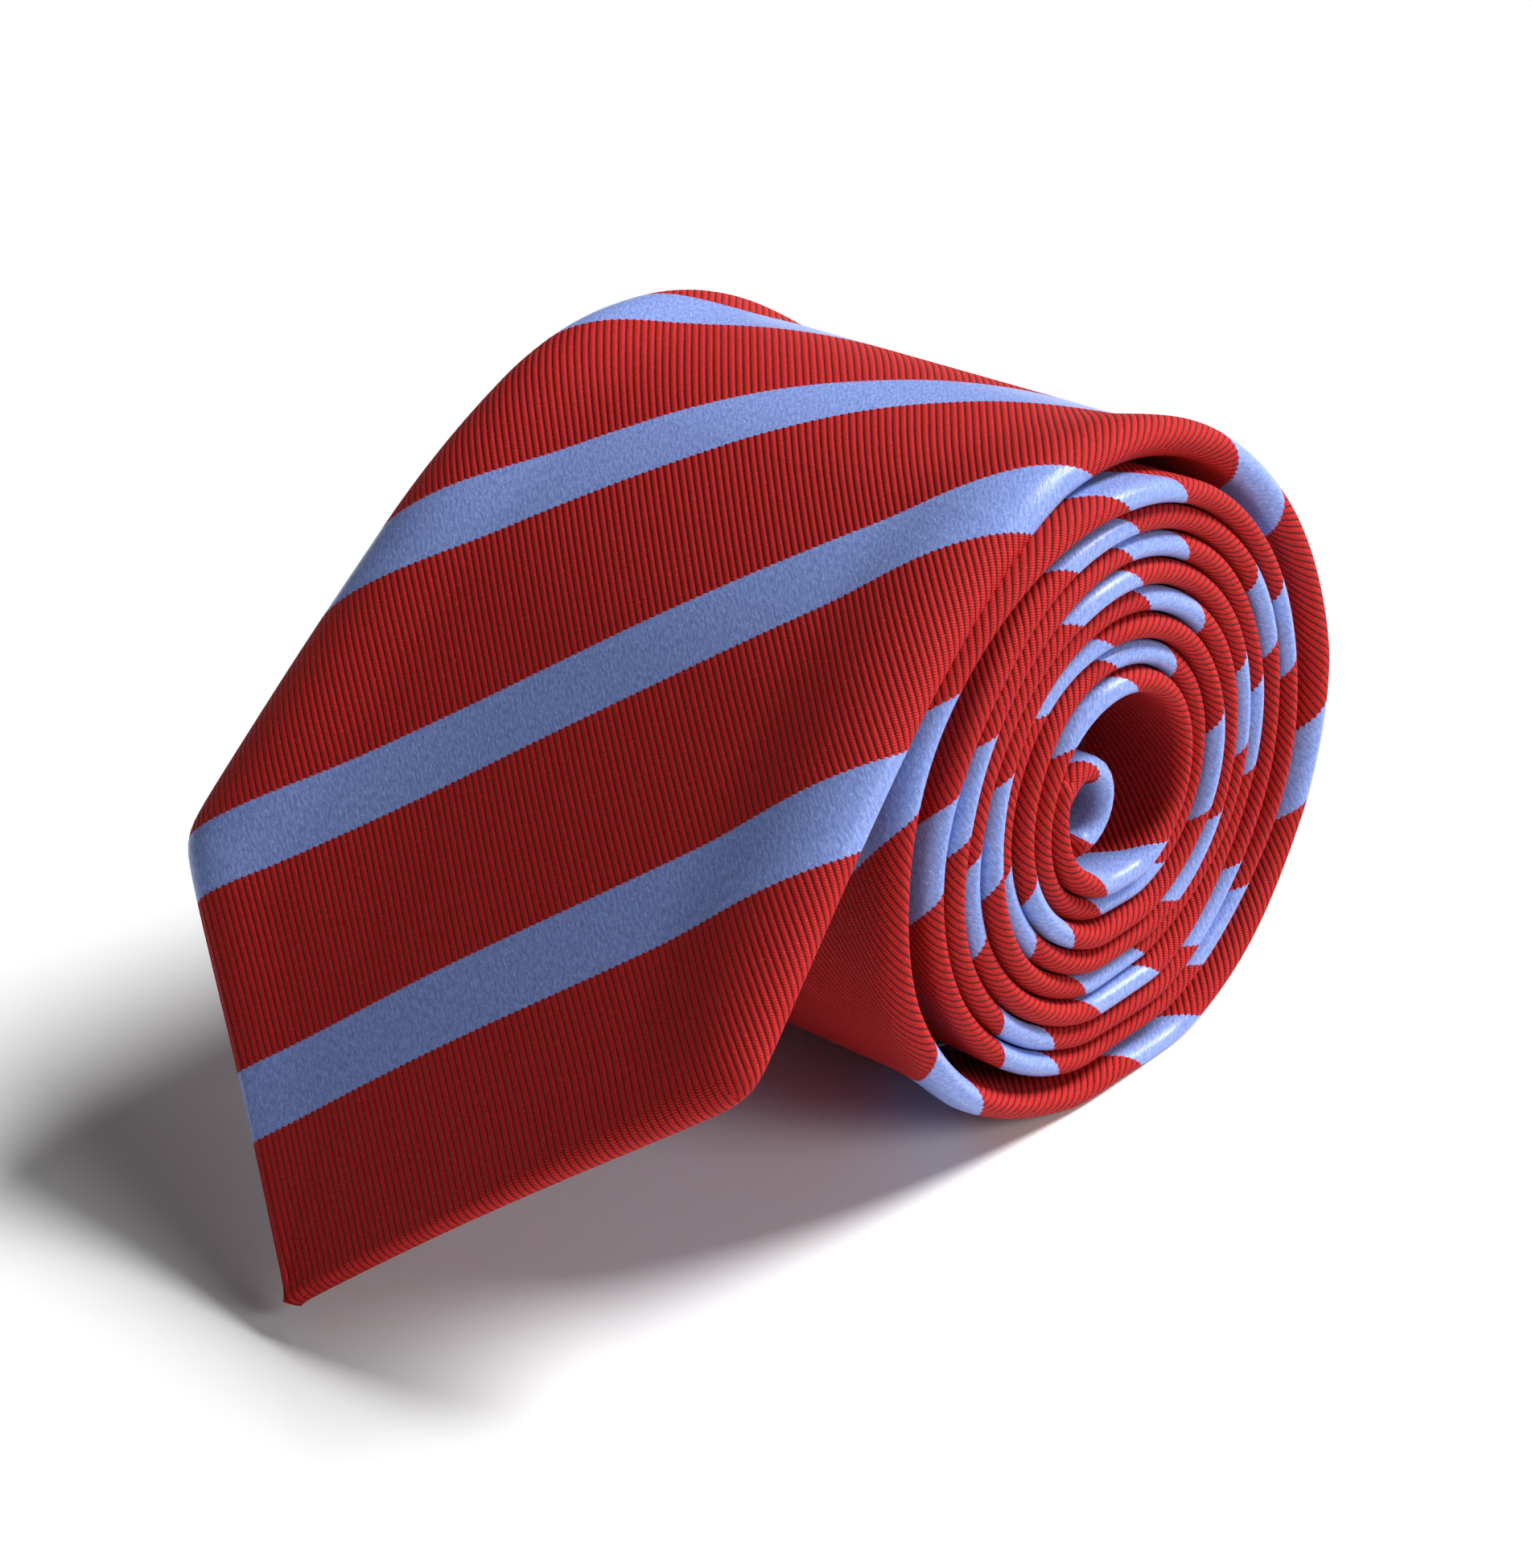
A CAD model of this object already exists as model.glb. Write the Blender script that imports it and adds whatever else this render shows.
"""A striped repp-silk necktie, rolled up from its narrow end.

The end of the wide blade hangs off the roll.

Every piece is a strip that follows one line, the middle of the tie's thickness. A place on that line is
given by s, its distance from the blade's tip. A place across the tie is given by x, along the roll's axis.
Sizes are in millimetres until a mesh is made.
"""

import math

import bpy
import numpy as np
from mathutils import Matrix, Vector


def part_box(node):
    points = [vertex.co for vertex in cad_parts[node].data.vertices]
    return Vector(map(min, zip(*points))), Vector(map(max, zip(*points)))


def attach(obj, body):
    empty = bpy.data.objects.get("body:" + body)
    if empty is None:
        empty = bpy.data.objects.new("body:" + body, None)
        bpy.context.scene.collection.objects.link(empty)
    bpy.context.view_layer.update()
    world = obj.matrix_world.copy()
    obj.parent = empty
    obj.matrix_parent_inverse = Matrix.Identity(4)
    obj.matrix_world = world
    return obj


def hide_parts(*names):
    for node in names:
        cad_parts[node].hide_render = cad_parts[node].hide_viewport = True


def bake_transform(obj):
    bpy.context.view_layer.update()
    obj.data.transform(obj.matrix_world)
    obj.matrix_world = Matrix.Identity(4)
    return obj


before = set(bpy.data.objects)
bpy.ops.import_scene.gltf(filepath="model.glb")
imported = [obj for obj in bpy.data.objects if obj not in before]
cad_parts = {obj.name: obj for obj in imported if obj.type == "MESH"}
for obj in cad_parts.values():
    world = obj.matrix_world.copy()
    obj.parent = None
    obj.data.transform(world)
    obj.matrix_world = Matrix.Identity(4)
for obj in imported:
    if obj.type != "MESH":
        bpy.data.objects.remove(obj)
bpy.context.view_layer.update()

MM = 0.001

# Driving sizes of the tie, as in the CAD
BLADE_WIDTH = 80
WIDTH_AT_TOP = 76
NECK_WIDTH = 31
TAIL_WIDTH = 38
HALF_THICKNESS = 1.2
HALF_CORE = 0.75

# The roll, in millimetres and turns clockwise from the top as seen from +X
ROLL_RADIUS = 38.4
TURN_PITCH = 3.06
KEEPER_ROOM = 0.9
CURL_RADIUS = 4.6
CURL_TURN = 8.84
END_TURN = 9.62
FLAT_ANGLE = math.radians(12)

# The real roll isn't quite round: it is longest towards one angle, and the table flattens it a little
OVAL_SHARE = 0.022
OVAL_ANGLE = math.radians(148)
FLOOR_SHARE = 0.985
FLOOR_SOFTNESS = 0.006
LEAST_BELOW = 0.5

# The roll stands this much higher, and further towards +Y, than the even spiral would
RISE = 1.0
SHIFT_Y = 0.8

# The hanging blade
LEAVE_ANGLE = math.radians(24)
BEND_RADIUS = 90
BEND_LENGTH = 28
BLADE_RADIUS = 420
TIP_CLEARANCE = 0.45

# Places along the tie, in turns
TAPER_END = 4
BLADE_SEAM = 3.3
TAIL_SEAM = 5.8

# The stripes and the ribs of the weave, measured on the flat cloth
STRIPE_PERIOD = 40.7
STRIPE_HALF = 5.8
BLADE_PHASE = 33.2
NECK_PHASE = 33.2
KEEPER_PHASE = 5
RIB_PERIOD = 0.8 * math.sqrt(2)


# ---------------------------------------------------------------- the line that the tie follows

# How far the loose outermost turn stands off the one under it, beyond the even spiral
LOOSE_AT = [0.0, 0.12, 0.25, 0.42, 0.5, 0.62, 0.72, 0.86, 1.0]
LOOSE = [0, 1.3, 1.9, 0.8, 0.2, 1.7, 1.4, 0.5, 0]

# Points of the line: in each turn of the roll, and every so many millimetres of the hanging blade
STEPS_PER_TURN = 1440
FLAP_STEP = 0.25


def turn_radius(turn):
    return ROLL_RADIUS - TURN_PITCH * turn - KEEPER_ROOM * np.clip(turn, 0, 1)


def out_of_round(angle):
    """The roll's radius as a share of its mean one, at an angle from the top."""
    oval = 1 + OVAL_SHARE * np.cos(2 * (angle - OVAL_ANGLE))
    below = -np.cos(angle) * oval
    pressed = FLOOR_SOFTNESS * np.logaddexp(0, (below - FLOOR_SHARE) / FLOOR_SOFTNESS)
    return oval * (1 - pressed / np.maximum(below, LEAST_BELOW))


def make_line():
    """Distances from the blade's tip, and the points (y, z) there, with the turn at each point."""
    rest_turn = 0.5 + FLAT_ANGLE / math.tau
    axis_z = (turn_radius(rest_turn) + HALF_THICKNESS) * math.cos(FLAT_ANGLE)
    leave_turn = -LEAVE_ANGLE / math.tau

    turns = np.arange(leave_turn, END_TURN, 1 / STEPS_PER_TURN)
    curled = turns > CURL_TURN
    curl_share = out_of_round(math.tau * CURL_TURN)
    shape = np.where(curled, curl_share, out_of_round(math.tau * turns))
    radius = np.where(curled, CURL_RADIUS, turn_radius(turns)) * shape + np.interp(turns, LOOSE_AT, LOOSE)
    shift = np.where(curled, (CURL_RADIUS - turn_radius(CURL_TURN)) * curl_share, 0)
    roll_y = shift + radius * np.sin(math.tau * turns)
    roll_z = axis_z + RISE + radius * np.cos(math.tau * turns)

    bend_slope = LEAVE_ANGLE + BEND_LENGTH / BEND_RADIUS
    leave_y, leave_z = roll_y[0], roll_z[0]
    bend_z = leave_z - BEND_RADIUS * (math.cos(LEAVE_ANGLE) - math.cos(bend_slope))
    tip_z = HALF_THICKNESS * math.cos(bend_slope) + TIP_CLEARANCE
    tip_slope = math.acos(math.cos(bend_slope) - (bend_z - tip_z) / BLADE_RADIUS)
    flap_length = BEND_LENGTH + BLADE_RADIUS * (tip_slope - bend_slope)

    u = np.arange(FLAP_STEP, flap_length, FLAP_STEP)
    bend = LEAVE_ANGLE + np.minimum(u, BEND_LENGTH) / BEND_RADIUS
    slope = bend + np.maximum(u - BEND_LENGTH, 0) / BLADE_RADIUS
    flap_y = (leave_y - BEND_RADIUS * (np.sin(bend) - math.sin(LEAVE_ANGLE))
              - BLADE_RADIUS * (np.sin(slope) - np.sin(bend)))
    flap_z = (leave_z - BEND_RADIUS * (math.cos(LEAVE_ANGLE) - np.cos(bend))
              - BLADE_RADIUS * (np.cos(bend) - np.cos(slope)))

    y = np.concatenate([flap_y[::-1], roll_y])
    z = np.concatenate([flap_z[::-1], roll_z])
    turn = np.concatenate([leave_turn - u[::-1] / (math.tau * ROLL_RADIUS), turns])
    s = np.concatenate([[0], np.cumsum(np.hypot(np.diff(y), np.diff(z)))])

    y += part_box("blade_shell")[1].y / MM - turn_radius(0.25) - HALF_THICKNESS + SHIFT_Y
    return s, y, z, turn


LINE_S, LINE_Y, LINE_Z, LINE_TURN = make_line()
LENGTH = LINE_S[-1]
NEAR_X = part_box("blade_shell")[1].x / MM
SLOPE_Y = np.gradient(LINE_Y, LINE_S)
SLOPE_Z = np.gradient(LINE_Z, LINE_S)


def at_turn(turn):
    """Distance from the tip after that many turns."""
    return float(np.interp(turn, LINE_TURN, LINE_S))


def turn_at(s):
    return np.interp(s, LINE_S, LINE_TURN)


def on_line(s, out):
    """Points (y, z) at distances s along the line, moved outwards from the roll by out."""
    along_y = np.interp(s, LINE_S, SLOPE_Y)
    along_z = np.interp(s, LINE_S, SLOPE_Z)
    size = np.hypot(along_y, along_z)
    y = np.interp(s, LINE_S, LINE_Y) - out * along_z / size
    z = np.interp(s, LINE_S, LINE_Z) + out * along_y / size
    return y, z


# ---------------------------------------------------------------- the tie's width

SHOULDER = BLADE_WIDTH / 2
FLAP_LENGTH = at_turn(-LEAVE_ANGLE / math.tau)
HINGE_RUN = 20
TACK_LENGTH = 9
WINDOW_END = FLAP_LENGTH - HINGE_RUN - TACK_LENGTH
BACK_MARGIN = 14
TIP_LOSS = 1.2
TAIL_BLUNTNESS = 8
END_SOFTNESS = 1.2
LEAST_HALF = 0.3


def blend_in(value, low, high):
    """0 below low, 1 above high, and smooth between."""
    t = np.clip((value - low) / (high - low), 0, 1)
    return t * t * (3 - 2 * t)


def half_width(s):
    places = [SHOULDER, at_turn(0), at_turn(TAPER_END), at_turn(TAIL_SEAM), LENGTH]
    widths = [BLADE_WIDTH, WIDTH_AT_TOP, NECK_WIDTH, NECK_WIDTH, TAIL_WIDTH]
    return np.interp(s, places, widths) / 2


def pointed_half(s):
    """Half the width where the pointed ends cut it off, with softly rounded shoulders."""
    side = half_width(s) / END_SOFTNESS
    tip = np.maximum(s - TIP_LOSS, LEAST_HALF) / END_SOFTNESS
    tail = np.maximum((LENGTH - s) * TAIL_BLUNTNESS, LEAST_HALF) / END_SOFTNESS
    return -END_SOFTNESS * np.logaddexp(np.logaddexp(-side, -tip), -tail)


# How far the near edge of the blade strays from a straight tie, along the roll's axis
NEAR_STRAY_AT = [0, 40, 80, 115, 150, 200]
NEAR_STRAY = [0.4, 2.9, 0.3, -2.6, -3.0, 0]

# How far the far edge of the hanging blade stands out, at each distance from the tip
FAR_LIFT_AT = [0, 40, 80, 110]
FAR_LIFT = [0.5, 3.0, 0.6, 0]

# How far the near end of the outermost turn opens outwards, like a bell, at each turn
BELL_AT = [-0.06, 0.08, 0.25, 0.42, 0.55, 0.7, 0.9, 1.05]
BELL = [0, 1.5, 2.8, 1.3, 0.5, 1.5, 1.0, 0]
BELL_LENGTH = 11

# The far end of the outermost turn has nothing under it and opens a little too
FAR_BELL = 0.9
FAR_LENGTH = 12

# Where these changes set in or fade, as shares of half the width or in turns
NEAR_SIDE = (-0.1, 1)
FAR_SIDE = (0.2, 1)
FAR_BELL_STARTS = (-0.2, 0)
FAR_BELL_FADES = (0.3, 0.5)

# The table holds up whatever would hang below it, and the change from free to held is this soft
TABLE_SOFTNESS = 0.2


def place(s, across, out):
    """Points of the tie: s from the tip, across from its middle line, out from its middle layer."""
    half = half_width(s)
    stray = np.interp(s, NEAR_STRAY_AT, NEAR_STRAY) * blend_in(across / half, *NEAR_SIDE)
    x = NEAR_X - half + across + stray
    turn = turn_at(s)
    bell = np.interp(turn, BELL_AT, BELL) * blend_in(across, half - BELL_LENGTH, half)
    far_open = blend_in(turn, *FAR_BELL_STARTS) * (1 - blend_in(turn, *FAR_BELL_FADES))
    far_bell = FAR_BELL * far_open * blend_in(-across, half - FAR_LENGTH, half)
    far_lift = np.interp(s, FAR_LIFT_AT, FAR_LIFT) * blend_in(-across / half, *FAR_SIDE)
    y, z = on_line(s, out + bell + far_bell + far_lift)
    z = TABLE_SOFTNESS * np.logaddexp(0, z / TABLE_SOFTNESS)
    return np.stack(np.broadcast_arrays(x, y, z), axis=-1)


# ---------------------------------------------------------------- meshes

def new_object(name, vertices, faces, sharp_angle=None):
    mesh = bpy.data.meshes.new(name)
    mesh.from_pydata((np.asarray(vertices) * MM).tolist(), [], faces)
    mesh.shade_smooth()
    if sharp_angle is not None:
        mesh.set_sharp_from_angle(angle=sharp_angle)
    piece = bpy.data.objects.new(name, mesh)
    bpy.context.scene.collection.objects.link(piece)
    return piece


def grid_faces(rows, columns):
    """Quads of a grid of vertices, numbered row by row."""
    corner = np.arange(rows - 1)[:, None] * columns + np.arange(columns - 1)[None, :]
    corner = corner.ravel()
    return np.stack([corner, corner + 1, corner + columns + 1, corner + columns], axis=1)


def tube_faces(rows, around, first=0):
    """Quads of a closed tube of vertices, ring by ring, and its two end caps."""
    ring = np.arange(around)
    ahead = (ring + 1) % around
    base = first + np.arange(rows - 1)[:, None] * around
    quads = np.stack([base + ring, base + ahead, base + ahead + around, base + ring + around], axis=2)
    last = first + (rows - 1) * around
    return quads.reshape(-1, 4).tolist() + [(first + ring[::-1]).tolist(), (last + ring).tolist()]


def store_map(piece, across_stripes, across_ribs):
    """Stores a UV map in metres from values for each face corner, in order."""
    layer = piece.data.uv_layers.new(name="cloth")
    pairs = np.stack([across_stripes, across_ribs], axis=-1) * MM
    layer.data.foreach_set("uv", pairs.astype(np.float32).ravel())


FRONT_STEPS = 48
FOLD_STEPS = 16
BACK_STEPS = 12
SILK_STEP = 1.25

# The folded edge of the silk: its flat form, and what a full puff adds to it
FOLD_WIDTH = 1.8
FRONT_PUFF_WIDTH = 5.2
BACK_PUFF_WIDTH = 0.9
FRONT_DEPTH = 1.35
FRONT_PUFF_DEPTH = 0.9
BACK_DEPTH = 1.3
BACK_PUFF_DEPTH = 0.1
GAP_DEPTH = 0.9
RIDGE = 0.15
PUFF_RIDGE = 1.0
RIDGE_LENGTH = 10

# The puff sets in past the tip and fades along the blade, and the outermost turn has a share of it
PUFF_STARTS = (14, 60)
PUFF_FADES = (95, 165)
OUTER_PUFF = 0.35
OUTER_PUFF_FADES = (0.9, 1.05)

# The turns over which the back half of the edge reaches down, to fill the gap under it
GAP_STARTS = (-0.02, 0.06)
GAP_FADES = (0.25, 0.45)

# The most of half the width that the rounded edge takes, and where the ridge may start
FOLD_SHARE = 0.9
RIDGE_SHARE = 0.3

# Waves of the folded edges: length, height and phase
RIPPLES = [(61, 0.25, 0.3), (97, 0.3, 1.7), (173, 0.4, 4.1), (29, 0.1, 2.2)]
SIDE_PHASE = 2.4
RIPPLE_STARTS = (110, 200)
RIPPLE_REACH = (0, 15)


def fold_profile(s):
    """Sizes of the rounded edge at s: width and depth of its front half and its back half, and
    the ridge that stands up inside it. The hanging blade is the puffiest."""
    past_tip = blend_in(s, *PUFF_STARTS)
    turn = turn_at(s)
    hanging = (1 - blend_in(s, *PUFF_FADES)) * past_tip
    outer = OUTER_PUFF * (1 - blend_in(turn, *OUTER_PUFF_FADES)) * past_tip
    puff = np.maximum(hanging, outer)
    front_width = FOLD_WIDTH + FRONT_PUFF_WIDTH * puff
    front_depth = FRONT_DEPTH + FRONT_PUFF_DEPTH * puff
    back_width = FOLD_WIDTH + BACK_PUFF_WIDTH * puff
    gap_filled = blend_in(turn, *GAP_STARTS) * (1 - blend_in(turn, *GAP_FADES))
    back_depth = BACK_DEPTH + BACK_PUFF_DEPTH * puff + GAP_DEPTH * gap_filled
    ridge = RIDGE + PUFF_RIDGE * puff
    return front_width, front_depth, back_width, back_depth, ridge


def edge_ripple(s, side):
    """Small unevenness of the folded edges, side to side, which differs from turn to turn."""
    total = 0
    for length, size, phase in RIPPLES:
        total = total + size * np.sin(math.tau * s / length + phase + SIDE_PHASE * side)
    return total * blend_in(s, *RIPPLE_STARTS)


def silk_section(s):
    """Across the tie at each s: x from its middle and height out, for the front and for one folded edge."""
    s = s[:, None]
    half = pointed_half(s)
    front_width, front_depth, back_width, back_depth, ridge = fold_profile(s)
    front_width = np.minimum(front_width, half * FOLD_SHARE)
    back_width = np.minimum(back_width, half * FOLD_SHARE)

    span = np.linspace(-1, 1, FRONT_STEPS + 1)[None, 1:-1]
    front_x = span * (half - front_width)
    rise_from = np.maximum(half - front_width - RIDGE_LENGTH, half * RIDGE_SHARE)
    front_out = HALF_THICKNESS + ridge * blend_in(np.abs(front_x), rise_from, half - front_width)

    turn = np.linspace(0, math.pi, FOLD_STEPS + 1)[None, :]
    is_front = turn <= math.pi / 2
    width = np.where(is_front, front_width, back_width)
    depth = np.where(is_front, front_depth + ridge, back_depth)
    fold_x = half - width + width * np.sin(turn)
    fold_out = HALF_THICKNESS - front_depth + depth * np.cos(turn)
    return front_x, front_out, fold_x, fold_out


REACH_AT_SHOULDER = 5.8

# The back: how soon the cloth lies flat, and how far and where its two margins lap at the middle
SETTLE_SHARE = 0.35
NEAR_LAP = 1.2
FAR_LAP = 0.8
LAP_HEIGHT = 0.15
LAP_RISES = (0.8, 0.9)


def window_half(s):
    """Half the width of the opening that the folded sides leave on the back."""
    return np.interp(s, [0, SHOULDER, WINDOW_END], [0, SHOULDER - BACK_MARGIN, 0])


def window_reach(s):
    """How far along the tie the inner edge of a back margin lies from its outer edge."""
    return np.interp(s, [0, SHOULDER, WINDOW_END], [BACK_MARGIN * math.sqrt(2), REACH_AT_SHOULDER, 0])


def silk_piece(name, start, end):
    """The folded tube of outer silk between two distances along the tie, open along its back."""
    count = int((end - start) / SILK_STEP) + 1
    s = np.linspace(start, end, count)
    front_x, front_out, fold_x, fold_out = silk_section(s)
    column_s = s[:, None]

    depth = np.linspace(0, 1, BACK_STEPS + 1)[None, 1:]
    settle = blend_in(depth, 0, SETTLE_SHARE)
    inner = window_half(column_s)
    back_s = column_s + window_reach(column_s) * depth
    back_out = fold_out[:, -1:] * (1 - settle) - HALF_THICKNESS * settle
    lap = LAP_HEIGHT * blend_in(depth, *LAP_RISES)
    near_back_x = fold_x[:, -1:] * (1 - depth) + (inner - NEAR_LAP) * depth
    far_back_x = fold_x[:, -1:] * (1 - depth) + (inner - FAR_LAP) * depth

    near_x = np.concatenate([fold_x, near_back_x], axis=1)
    near_out = np.concatenate([fold_out, back_out - lap], axis=1)
    far_x = -np.concatenate([fold_x, far_back_x], axis=1)
    far_out = np.concatenate([fold_out, back_out + lap], axis=1)
    side_s = np.concatenate([column_s + 0 * fold_x, back_s + 0 * near_back_x], axis=1)

    across = np.concatenate([far_x[:, ::-1], front_x, near_x], axis=1)
    out = np.concatenate([far_out[:, ::-1], front_out, near_out], axis=1)
    along = np.concatenate([side_s[:, ::-1], column_s + 0 * front_x, side_s], axis=1)

    # Flat distance across the cloth, from the middle of the front
    step_length = np.hypot(np.diff(across, axis=1), np.diff(out, axis=1))
    flat = np.concatenate([np.zeros((count, 1)), np.cumsum(step_length, axis=1)], axis=1)
    flat -= flat[:, [across.shape[1] // 2]]

    near_ripple = edge_ripple(along, 1) * blend_in(across, *RIPPLE_REACH)
    far_ripple = edge_ripple(along, 2) * blend_in(-across, *RIPPLE_REACH)
    points = place(along, across + (near_ripple + far_ripple), out)
    faces = grid_faces(count, across.shape[1])
    piece = new_object(name, points.reshape(-1, 3), faces.tolist())
    add_cloth_map(piece, faces, s, along, across, flat)
    # The area is measured on this mesh, so a comparison of the two proves nothing
    return piece


# How far the stripes have crept along the tie after each number of turns
SLIP_AT = [-0.05, 0.1, 0.3, 0.55, 0.8, 0.95]
SLIP = [0, 1.5, 2, 3.5, 8, 12]

# The mirrored map ends this far before the shoulder
TIP_MAP_MARGIN = 0.5


def add_cloth_map(piece, faces, s, along, across, flat):
    """Stores the distances on the flat cloth across the stripes and across the ribs. At the blade's
    tip the cloth folds over edges at 45 degrees, so its map is mirrored there."""
    side = np.stack([along - flat, along + flat], axis=2).reshape(-1, 2)[faces]
    far = (across < 0)[:, :, None]
    tip = np.where(far, np.stack([along - across, along + flat], axis=2),
                   np.stack([along - flat, along + across], axis=2)).reshape(-1, 2)[faces]
    in_tip = s[faces[:, 0] // along.shape[1]] < SHOULDER - TIP_MAP_MARGIN
    chosen = np.where(in_tip[:, None, None], tip, side)
    chosen = chosen - np.interp(turn_at(along.ravel()[faces]), SLIP_AT, SLIP)[:, :, None]
    store_map(piece, chosen[:, :, 0], chosen[:, :, 1])


STRIP_STEP = 1.5
LEAST_ROWS = 4
STRIP_SHARP_ANGLE = math.radians(50)


def strip_piece(name, ends, half, layer, columns, step=STRIP_STEP):
    """A closed strip between two distances along the tie and between the two faces of its layer.
    half is half its width, or gives it at s."""
    start, end = ends
    low, high = layer
    count = max(int((end - start) / step) + 1, LEAST_ROWS)
    s = np.linspace(start, end, count)[:, None]
    span = np.linspace(-1, 1, columns + 1)[None, :]
    across = span * (half(s) if callable(half) else half + 0 * s)
    both = np.concatenate([across, across[:, ::-1]], axis=1)
    height = np.concatenate([0 * across + high, 0 * across + low], axis=1)
    points = place(s, both, height)
    piece = new_object(name, points.reshape(-1, 3), tube_faces(count, both.shape[1]), STRIP_SHARP_ANGLE)
    corners = np.array([loop.vertex_index for loop in piece.data.loops])
    flat_s = np.broadcast_to(s, both.shape).ravel()[corners]
    flat_x = both.ravel()[corners]
    store_map(piece, flat_s - flat_x, flat_s + flat_x)
    return piece


THREAD_SIDES = 6
THREAD_TAPER = 0.6
THREAD_TAPER_POWER = 6

# No thread runs this way, so it gives every thread a side
THREAD_ASIDE = [0.3, 0.8, 0.5]


def thread_piece(name, runs, radius):
    """Short threads, each along a run of points (s, across, out), thinner towards its two ends."""
    vertices, faces = [], []
    for run in runs:
        s, across, out = np.array(run, float).T
        centre = place(s, across, out)
        along = np.gradient(centre, axis=0)
        along /= np.linalg.norm(along, axis=1, keepdims=True)
        side = np.cross(along, THREAD_ASIDE)
        side /= np.linalg.norm(side, axis=1, keepdims=True)
        top = np.cross(along, side)
        share = np.linspace(-1, 1, len(centre))
        thick = radius * (1 - THREAD_TAPER * share ** THREAD_TAPER_POWER)
        angle = np.arange(THREAD_SIDES) * math.tau / THREAD_SIDES
        ring = side[:, None] * np.cos(angle)[None, :, None] + top[:, None] * np.sin(angle)[None, :, None]
        faces += tube_faces(len(centre), THREAD_SIDES, len(vertices))
        vertices += (centre[:, None] + ring * thick[:, None, None]).reshape(-1, 3).tolist()
    return new_object(name, vertices, faces)


# ---------------------------------------------------------------- materials

class Nodes:
    """Short ways to build a node tree."""

    def __init__(self, name):
        self.material = bpy.data.materials.new(name)
        self.material.use_nodes = True
        self.tree = self.material.node_tree
        self.shader = self.tree.nodes["Principled BSDF"]

    def cloth_place(self):
        """The place on the flat cloth, in metres, and its parts."""
        spot = self.tree.nodes.new("ShaderNodeUVMap")
        spot.uv_map = "cloth"
        split = self.tree.nodes.new("ShaderNodeSeparateXYZ")
        self.put(split.inputs[0], spot.outputs[0])
        return spot.outputs[0], split.outputs

    def put(self, socket, value):
        if isinstance(value, bpy.types.NodeSocket):
            self.tree.links.new(value, socket)
        elif value is not None:
            socket.default_value = value

    def math(self, operation, a, b=None, c=None):
        node = self.tree.nodes.new("ShaderNodeMath")
        node.operation = operation
        for socket, value in zip(node.inputs, (a, b, c)):
            self.put(socket, value)
        return node.outputs[0]

    def ramp(self, value, low, high, to_low=0.0, to_high=1.0, smooth=True):
        node = self.tree.nodes.new("ShaderNodeMapRange")
        node.interpolation_type = "SMOOTHSTEP" if smooth else "LINEAR"
        for socket, part in zip(node.inputs, (value, low, high, to_low, to_high)):
            self.put(socket, part)
        return node.outputs[0]

    def mix(self, factor, a, b):
        node = self.tree.nodes.new("ShaderNodeMix")
        node.data_type = "RGBA"
        self.put(node.inputs["Factor"], factor)
        self.put(node.inputs["A"], a)
        self.put(node.inputs["B"], b)
        return node.outputs["Result"]

    def noise(self, vector, scale, detail):
        node = self.tree.nodes.new("ShaderNodeTexNoise")
        self.put(node.inputs["Vector"], vector)
        node.inputs["Scale"].default_value = scale
        node.inputs["Detail"].default_value = detail
        return node.outputs["Fac"]

    def cloth_noise(self, along, ribs, scales, detail):
        """Noise on the cloth, with a scale along it and one across its ribs."""
        stretched = self.tree.nodes.new("ShaderNodeCombineXYZ")
        for socket, part, scale in zip(stretched.inputs, (along, ribs), scales):
            self.put(socket, self.math("MULTIPLY", part, scale))
        return self.noise(stretched.outputs[0], 1.0, detail)

    def bump(self, height, distance):
        node = self.tree.nodes.new("ShaderNodeBump")
        node.inputs["Distance"].default_value = distance
        node.inputs["Strength"].default_value = 1.0
        self.put(node.inputs["Height"], height)
        return node.outputs[0]


RED = (0.50, 0.008, 0.008, 1)
RED_VALLEY = (0.085, 0.0010, 0.0014, 1)
BLUE = (0.16, 0.23, 0.54, 1)
BLUE_THREAD = (0.25, 0.34, 0.72, 1)
BLUE_FLECK = (0.52, 0.62, 0.98, 1)
RED_FLECK = (0.75, 0.045, 0.04, 1)


# The weave: its threads, the steps at a stripe's edge, and its relief in millimetres
THREAD_PERIOD = 0.42
THREAD_SLANT = 0.35
THREAD_HEIGHT = 0.2
STRIPE_STEP = 0.28
STRIPE_SOFTNESS = 0.12
SATIN_HEIGHT = 0.7
FLOAT_HEIGHT = 0.35
WEAVE_BUMP = 0.12

# Noise on the cloth: scales along it and across its ribs
FLOAT_SCALES = (0.8, 2.2)
FLECK_SCALES = (1.9, 3.0)
PATCH_SCALES = (0.9, 1.4)
FINE_DETAIL = 3.0
FLECK_DETAIL = 2.0

# From which value to which value a noise or a rib changes the colour, and by how much
FLOAT_RANGE = (0.3, 0.7)
SATIN_FLECKS = (0.56, 0.72, 0.0, 0.5)
RED_FLECKS = (0.60, 0.72, 0.0, 0.5)
RED_PATCHES = (0.35, 0.8, 0.0, 0.25)
RIB_RANGE = (0.05, 0.75)

RED_ROUGHNESS = 0.72
SATIN_ROUGHNESS = 0.3
SPECULAR = 0.2


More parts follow.
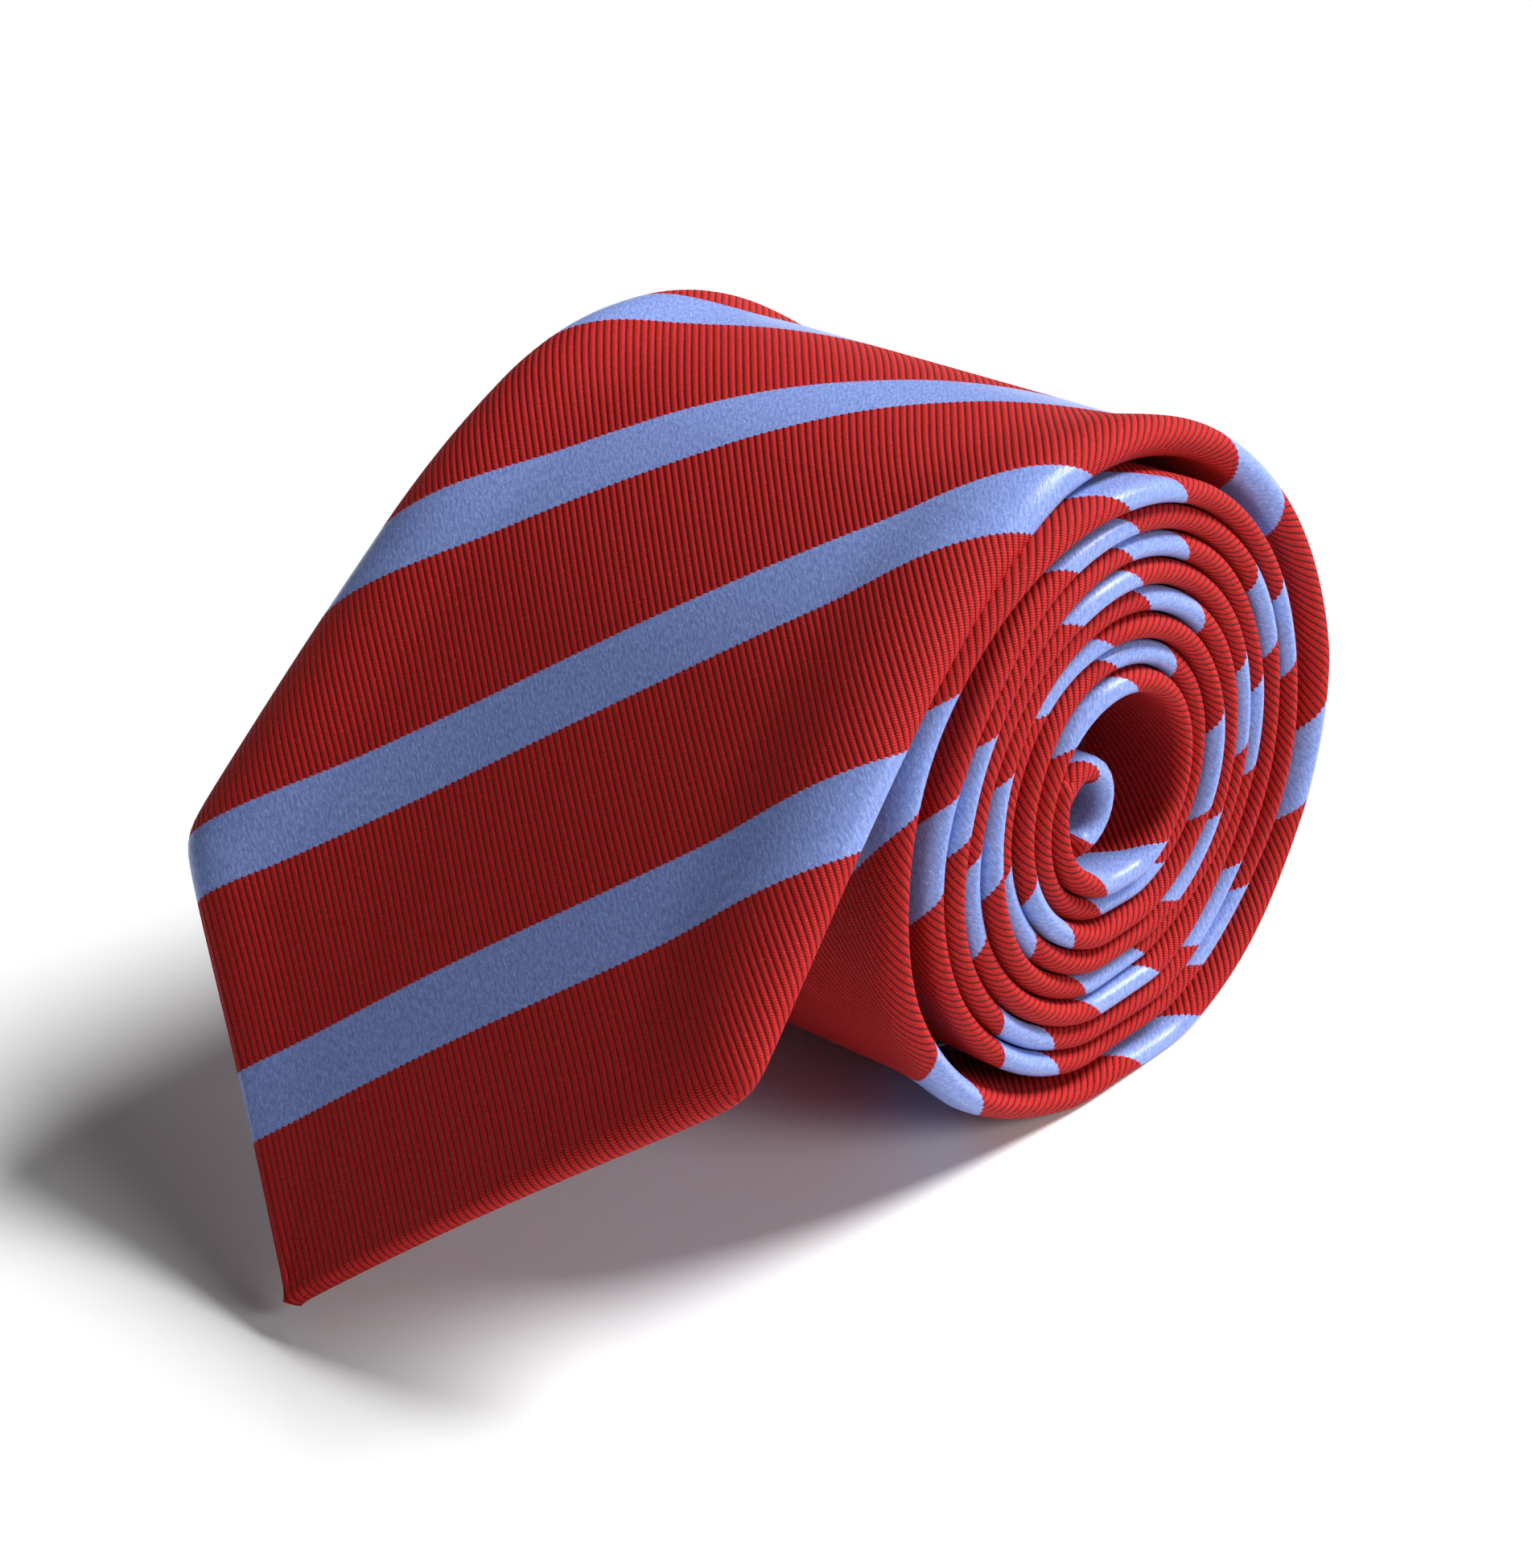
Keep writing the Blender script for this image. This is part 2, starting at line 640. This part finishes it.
def cloth_material(name, phase):
    """Red ribbed silk with satin stripes. phase is where a stripe's middle lies, in millimetres."""
    n = Nodes(name)
    split = n.cloth_place()[1]
    along = n.math("DIVIDE", split[0], MM)
    ribs = n.math("DIVIDE", split[1], MM)

    # Ribs: round cords side by side, each of fine threads laid at a slant
    rib_fraction = n.math("FRACT", n.math("DIVIDE", ribs, RIB_PERIOD))
    rib = n.math("SINE", n.math("MULTIPLY", rib_fraction, math.pi))
    slant = n.math("MULTIPLY_ADD", rib_fraction, THREAD_SLANT, n.math("DIVIDE", along, THREAD_PERIOD))
    threads = n.math("SINE", n.math("MULTIPLY", slant, math.tau))

    # Stripe, with an edge stepped by the ribs
    wobble = n.math("MULTIPLY_ADD", rib, STRIPE_STEP, -phase - STRIPE_STEP / 2)
    period_place = n.math("DIVIDE", n.math("ADD", along, wobble), STRIPE_PERIOD)
    centred = n.math("SUBTRACT", n.math("FRACT", n.math("ADD", period_place, 0.5)), 0.5)
    distance = n.math("MULTIPLY", n.math("ABSOLUTE", centred), STRIPE_PERIOD)
    stripe = n.ramp(distance, STRIPE_HALF + STRIPE_SOFTNESS, STRIPE_HALF - STRIPE_SOFTNESS)

    # Satin: long fine floats with small bright flecks
    floats = n.cloth_noise(along, ribs, FLOAT_SCALES, FINE_DETAIL)
    satin = n.mix(n.ramp(floats, *FLOAT_RANGE), BLUE, BLUE_THREAD)
    flecks = n.cloth_noise(along, ribs, FLECK_SCALES, FLECK_DETAIL)
    satin = n.mix(n.ramp(flecks, *SATIN_FLECKS), satin, BLUE_FLECK)

    red = n.mix(n.ramp(rib, *RIB_RANGE), RED_VALLEY, RED)
    patches = n.cloth_noise(along, ribs, PATCH_SCALES, FINE_DETAIL)
    red = n.mix(n.ramp(patches, *RED_PATCHES), red, RED_VALLEY)
    red = n.mix(n.ramp(flecks, *RED_FLECKS), red, RED_FLECK)
    n.put(n.shader.inputs["Base Color"], n.mix(stripe, red, satin))

    roughness = n.ramp(stripe, 0.0, 1.0, RED_ROUGHNESS, SATIN_ROUGHNESS, smooth=False)
    n.put(n.shader.inputs["Roughness"], roughness)

    mixed = n.tree.nodes.new("ShaderNodeMix")
    n.put(mixed.inputs["Factor"], stripe)
    n.put(mixed.inputs["A"], n.math("MULTIPLY_ADD", threads, THREAD_HEIGHT, rib))
    n.put(mixed.inputs["B"], n.math("MULTIPLY_ADD", floats, FLOAT_HEIGHT, SATIN_HEIGHT))
    n.put(n.shader.inputs["Normal"], n.bump(mixed.outputs[0], WEAVE_BUMP * MM))
    n.shader.inputs["Specular IOR Level"].default_value = SPECULAR
    return n.material


PLAIN_PATCH_SCALE = 900.0


def plain_cloth(name, colour, second, period, roughness, height):
    """A plain weave of two close colours, laid at 45 degrees to the tie."""
    n = Nodes(name)
    spot, split = n.cloth_place()
    waves = [n.math("SINE", n.math("MULTIPLY", part, math.tau / (period * MM))) for part in split[:2]]
    weave = n.math("MULTIPLY_ADD", n.math("MULTIPLY", waves[0], waves[1]), 0.5, 0.5)
    patch = n.noise(spot, PLAIN_PATCH_SCALE, FINE_DETAIL)
    tone = n.math("MULTIPLY_ADD", patch, 0.5, n.math("MULTIPLY", weave, 0.5))
    n.put(n.shader.inputs["Base Color"], n.mix(tone, colour, second))
    n.put(n.shader.inputs["Normal"], n.bump(weave, height * MM))
    n.shader.inputs["Roughness"].default_value = roughness
    return n.material


def paint(piece, material):
    piece.data.materials.clear()
    piece.data.materials.append(material)


# ---------------------------------------------------------------- camera and light

def look(position, direction, up):
    """A rotation for something that looks along direction, with its own up towards up."""
    back = -Vector(direction).normalized()
    right = Vector(up).cross(back).normalized()
    top = back.cross(right)
    turn = Matrix((right, top, back)).transposed().to_4x4()
    return Matrix.Translation(Vector(position)) @ turn


LENS = 82.65
SENSOR_WIDTH = 36
CAMERA_SHIFT = (-0.0077, -0.0302)
CAMERA_CLIP = 0.01
CAMERA_PLACE = (0.242, -0.2497, 0.2242)
CAMERA_AIM = (-0.5985, 0.6537, -0.4631)
CAMERA_UP = (-0.2835, 0.3679, 0.8856)


def make_camera():
    data = bpy.data.cameras.new("camera")
    data.lens = LENS
    data.sensor_width = SENSOR_WIDTH
    data.sensor_fit = "HORIZONTAL"
    data.shift_x, data.shift_y = CAMERA_SHIFT
    data.clip_start = CAMERA_CLIP
    camera = bpy.data.objects.new("camera", data)
    camera.matrix_world = look(CAMERA_PLACE, CAMERA_AIM, CAMERA_UP)
    bpy.context.scene.collection.objects.link(camera)
    bpy.context.scene.camera = camera


def sun_light(name, towards, softness, strength):
    data = bpy.data.lights.new(name, "SUN")
    data.angle = softness
    data.energy = strength
    lamp = bpy.data.objects.new(name, data)
    lamp.matrix_world = look((0, 0, 1), -Vector(towards), (0, 0, 1))
    bpy.context.scene.collection.objects.link(lamp)


def area_light(name, position, target, size, power):
    data = bpy.data.lights.new(name, "AREA")
    data.size = size
    data.energy = power
    lamp = bpy.data.objects.new(name, data)
    lamp.matrix_world = look(position, Vector(target) - Vector(position), (0, 0, 1))
    bpy.context.scene.collection.objects.link(lamp)


FLOOR_HALF = 4000
FLOOR_COLOUR = (0.86, 0.86, 0.87, 1)
FLOOR_ROUGHNESS = 0.9
KEY_TOWARDS = (0.28, 0.66, 0.72)
KEY_SOFTNESS = math.radians(22)
KEY_STRENGTH = 5.0
SIDE_PLACE = (0.9, 0.1, 0.45)
SIDE_SIZE = 0.4
SIDE_POWER = 4
SKY_COLOUR = (1, 1, 1, 1)
SKY_STRENGTH = 0.09


def make_stage():
    low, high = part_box("blade_shell")
    middle = (low + high) / 2
    corners = np.array([[-1, -1, 0], [1, -1, 0], [1, 1, 0], [-1, 1, 0]]) * FLOOR_HALF
    floor = new_object("floor", corners, [[0, 1, 2, 3]])
    n = Nodes("floor_paper")
    n.shader.inputs["Base Color"].default_value = FLOOR_COLOUR
    n.shader.inputs["Roughness"].default_value = FLOOR_ROUGHNESS
    paint(floor, n.material)

    sun_light("key_light", KEY_TOWARDS, KEY_SOFTNESS, KEY_STRENGTH)
    area_light("side_light", SIDE_PLACE, middle, SIDE_SIZE, SIDE_POWER)
    world = bpy.data.worlds.new("studio")
    world.use_nodes = True
    sky = world.node_tree.nodes["Background"]
    sky.inputs["Color"].default_value = SKY_COLOUR
    sky.inputs["Strength"].default_value = SKY_STRENGTH
    bpy.context.scene.world = world
    bpy.context.scene.view_settings.view_transform = "Standard"


# ---------------------------------------------------------------- the pieces

make_camera()
make_stage()

# Places of the trimmings, in turns
KEEPER = (0.4, 0.45)
MAKERS_LABEL = (0.48, 0.58)
CARE_LABEL = (0.8, 0.88)
TAIL_LINING = (8.0, 8.72)
TAIL_TACK = 7.9
TAIL_STRIPE = 9.25
STITCHES_START = 0.1

# Half their widths, and the length of the keeper's rows of faces
KEEPER_HALF = 22
KEEPER_STEP = 1.0
MAKERS_HALF = 18
CARE_HALF = 11
TAIL_LINING_HALF = 5

# The two faces of each layer, out from the middle of the tie's thickness
CORE_LAYER = (-HALF_CORE, HALF_CORE)
LINING_LAYER = (-1.05, -0.85)
BACK_LAYER = (-1.65, -1.4)
KEEPER_LAYER = (-2.0, -1.4)

# Gaps at the ends of the silk, the interlining and the blade's lining
SILK_GAP = 0.4
CORE_START = 4
CORE_END_GAP = 3
CORE_INSET = 1.9
LINING_START = 8
LINING_OVERRUN = 1
LINING_OVERLAP = 2.5
LINING_TIP_GAP = 6
LEAST_LINING_HALF = 0.5

# Columns of faces across each strip
CORE_COLUMNS = 16
LINING_COLUMNS = 16
TAIL_LINING_COLUMNS = 10
KEEPER_COLUMNS = 24
MAKERS_COLUMNS = 20
CARE_COLUMNS = 14

# Threads lie on the back, this far off its cloth
BACK = -HALF_THICKNESS
BACK_GAP = 0.2
THREAD_RADIUS = 0.14

# A slip stitch: its spacing, its run along and across the tie, and its rise off the cloth
SLIP_STEP = 5.0
SLIP_RUN = 2.6
SLIP_FROM = 1.1
SLIP_ACROSS = 1.4
SLIP_LIFT = 0.12
SLIP_POINTS = 7
SLIP_START_GAP = 2
SLIP_END_GAP = 3

# A join's stitch, likewise across the tie, and the half width that the slip stitches keep free
JOIN_STEP = 2.2
JOIN_RUN = 1.6
JOIN_LIFT = 0.1
JOIN_POINTS = 5
JOIN_EDGE_GAP = 2.5
JOIN_FREE = 2.2

# A bar tack: its two long stitches, and the short ones over them
TACK_SIDE = 0.25
TACK_LONG_POINTS = 9
TACK_RUN = 1.2
TACK_SLANT = 0.1
TACK_LIFT = 0.26
TACK_POINTS = 7
TACK_START_GAP = 0.3
TACK_END_GAP = 0.2
TACK_SPACING = 2.2


def core_half(s):
    """Half the width of the interlining, which fills the silk tube but not its rounded edges."""
    return pointed_half(s) - CORE_INSET


def lining_half(s):
    """Half the width of the blade's lining, which reaches a little under the folded sides."""
    return np.minimum(window_half(s) + LINING_OVERLAP, np.maximum(s - LINING_TIP_GAP, LEAST_LINING_HALF))


def between(turns):
    """The two distances from the tip at a pair of turns."""
    return at_turn(turns[0]), at_turn(turns[1])


def slip_stitches():
    """The long slanted stitches that close the back, under neither the keeper nor the labels."""
    runs = []
    free = [(STITCHES_START, KEEPER[0]), (MAKERS_LABEL[1], CARE_LABEL[0]), (CARE_LABEL[1], TAIL_LINING[0])]
    for turns in free:
        start, end = between(turns)
        for s in np.arange(start + SLIP_START_GAP, end - SLIP_END_GAP, SLIP_STEP):
            share = np.linspace(0, 1, SLIP_POINTS)
            lift = SLIP_LIFT * np.sin(math.pi * share)
            across = SLIP_FROM - SLIP_ACROSS * share
            runs.append(np.stack([s + SLIP_RUN * share, across, BACK - BACK_GAP - lift], axis=1))
    return thread_piece("slip_stitches", runs, THREAD_RADIUS)


def join_stitches(name, turn):
    """A row of small stitches across the back, where two lengths of silk are joined."""
    s = at_turn(turn)
    half = float(half_width(s)) - JOIN_EDGE_GAP
    runs = []
    for x in np.arange(-half, half, JOIN_STEP):
        if abs(x + JOIN_RUN / 2) > JOIN_FREE:
            share = np.linspace(0, 1, JOIN_POINTS)
            lift = JOIN_LIFT * np.sin(math.pi * share)
            runs.append(np.stack([s + 0 * share, x + JOIN_RUN * share, BACK - BACK_GAP - lift], axis=1))
    return thread_piece(name, runs, THREAD_RADIUS)


def bar_tack(name, s, length, middle=0.0):
    """A bar of close short stitches over two long ones, across the tie's back."""
    runs = []
    for side in (-TACK_SIDE, TACK_SIDE):
        share = np.linspace(-0.5, 0.5, TACK_LONG_POINTS)
        height = BACK - BACK_GAP + 0 * share
        runs.append(np.stack([s + side + 0 * share, middle + length * share, height], axis=1))
    first = -length / 2 + TACK_START_GAP
    for x in np.arange(first, length / 2 - TACK_END_GAP, TACK_SPACING * THREAD_RADIUS):
        share = np.linspace(0, 1, TACK_POINTS)
        lift = TACK_LIFT * np.sin(math.pi * share)
        along = s - TACK_RUN / 2 + TACK_RUN * share
        runs.append(np.stack([along, middle + x + TACK_SLANT * share, BACK - BACK_GAP - lift], axis=1))
    return thread_piece(name, runs, THREAD_RADIUS)


TAIL_PHASE = at_turn(TAIL_STRIPE) - TAIL_WIDTH / 2 - SLIP[-1]
hanging = silk_piece("hanging_silk", TIP_LOSS + SILK_GAP, FLAP_LENGTH)
blade = silk_piece("blade_silk", FLAP_LENGTH, at_turn(BLADE_SEAM))
neck = silk_piece("neck_silk", at_turn(BLADE_SEAM), at_turn(TAIL_SEAM))
tail = silk_piece("tail_silk", at_turn(TAIL_SEAM), LENGTH - SILK_GAP)

hanging_ends = (CORE_START, FLAP_LENGTH)
core_ends = (FLAP_LENGTH, LENGTH - CORE_END_GAP)
lining_ends = (LINING_START, WINDOW_END + LINING_OVERRUN)
hanging_core = strip_piece("hanging_interlining", hanging_ends, core_half, CORE_LAYER, CORE_COLUMNS)
core = strip_piece("wool_interlining", core_ends, core_half, CORE_LAYER, CORE_COLUMNS)
lining = strip_piece("blade_lining", lining_ends, lining_half, LINING_LAYER, LINING_COLUMNS)
tail_lining = strip_piece("tail_lining", between(TAIL_LINING), TAIL_LINING_HALF, BACK_LAYER,
                          TAIL_LINING_COLUMNS)
keeper = strip_piece("keeper_band", between(KEEPER), KEEPER_HALF, KEEPER_LAYER, KEEPER_COLUMNS,
                     KEEPER_STEP)
makers = strip_piece("blank_label", between(MAKERS_LABEL), MAKERS_HALF, BACK_LAYER, MAKERS_COLUMNS)
care = strip_piece("blank_care_label", between(CARE_LABEL), CARE_HALF, BACK_LAYER, CARE_COLUMNS)
stitches = slip_stitches()
blade_join = join_stitches("blade_join", BLADE_SEAM)
tail_join = join_stitches("tail_join", TAIL_SEAM)
blade_tack = bar_tack("blade_tack", FLAP_LENGTH - HINGE_RUN - TACK_LENGTH / 2, TACK_LENGTH)
tail_tack = bar_tack("tail_tack", at_turn(TAIL_TACK), TACK_LENGTH / 2, TACK_LENGTH / 4)

# Each with its two colours, the period of its weave, its roughness and its relief
satin_lining = plain_cloth("lining_satin", (0.16, 0.006, 0.010, 1), (0.25, 0.012, 0.016, 1), 0.35, 0.4, 0.03)
thread_silk = plain_cloth("sewing_thread", (0.40, 0.012, 0.014, 1), (0.55, 0.02, 0.02, 1), 0.25, 0.5, 0.03)
label_cloth = plain_cloth("label_satin", (0.72, 0.72, 0.70, 1), (0.85, 0.85, 0.84, 1), 0.3, 0.45, 0.03)
core_wool = plain_cloth("interlining_wool", (0.62, 0.56, 0.42, 1), (0.80, 0.76, 0.64, 1), 0.9, 0.9, 0.12)

blade_cloth = cloth_material("blade_cloth", BLADE_PHASE)

rows = [
    (hanging, blade_cloth, "red_stripe_silk", ["flap_shell"]),
    (blade, blade_cloth, "red_stripe_silk", ["blade_shell"]),
    (neck, cloth_material("neck_cloth", NECK_PHASE), "red_stripe_silk", ["neck_shell"]),
    (tail, cloth_material("tail_cloth", TAIL_PHASE), "red_stripe_silk", ["tail_shell"]),
    (keeper, cloth_material("keeper_cloth", KEEPER_PHASE), "red_stripe_silk", ["keeper_loop"]),
    (hanging_core, core_wool, "interlining_wool", ["flap_interlining"]),
    (core, core_wool, "interlining_wool", ["interlining"]),
    (lining, satin_lining, "tipping_satin", ["blade_tipping"]),
    (tail_lining, satin_lining, "tipping_satin", ["tail_tipping"]),
    (makers, label_cloth, "label_satin", ["maker_label"]),
    (care, label_cloth, "label_satin", ["care_label"]),
    (stitches, thread_silk, "red_thread", ["slip_stitch"]),
    (blade_join, thread_silk, "red_thread", ["blade_seam"]),
    (tail_join, thread_silk, "red_thread", ["tail_seam"]),
    (blade_tack, thread_silk, "red_thread", ["blade_bar_tack"]),
    (tail_tack, thread_silk, "red_thread", ["tail_bar_tack"]),
]
for piece, material, slot, nodes in rows:
    paint(piece, material)
    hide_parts(*nodes)

# The blade bends over a stretch that starts where it has left the roll and has the hinge line in its
# middle. The bend is measured along the blade, so all its layers turn together.
for piece in (hanging, hanging_core, lining, blade_tack):
    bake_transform(piece)
on_roll = [blade, core, neck, tail, tail_lining, keeper, makers, care]
on_roll += [stitches, blade_join, tail_join, tail_tack]
for piece in on_roll:
    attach(piece, "roll")

bpy.context.view_layer.update()
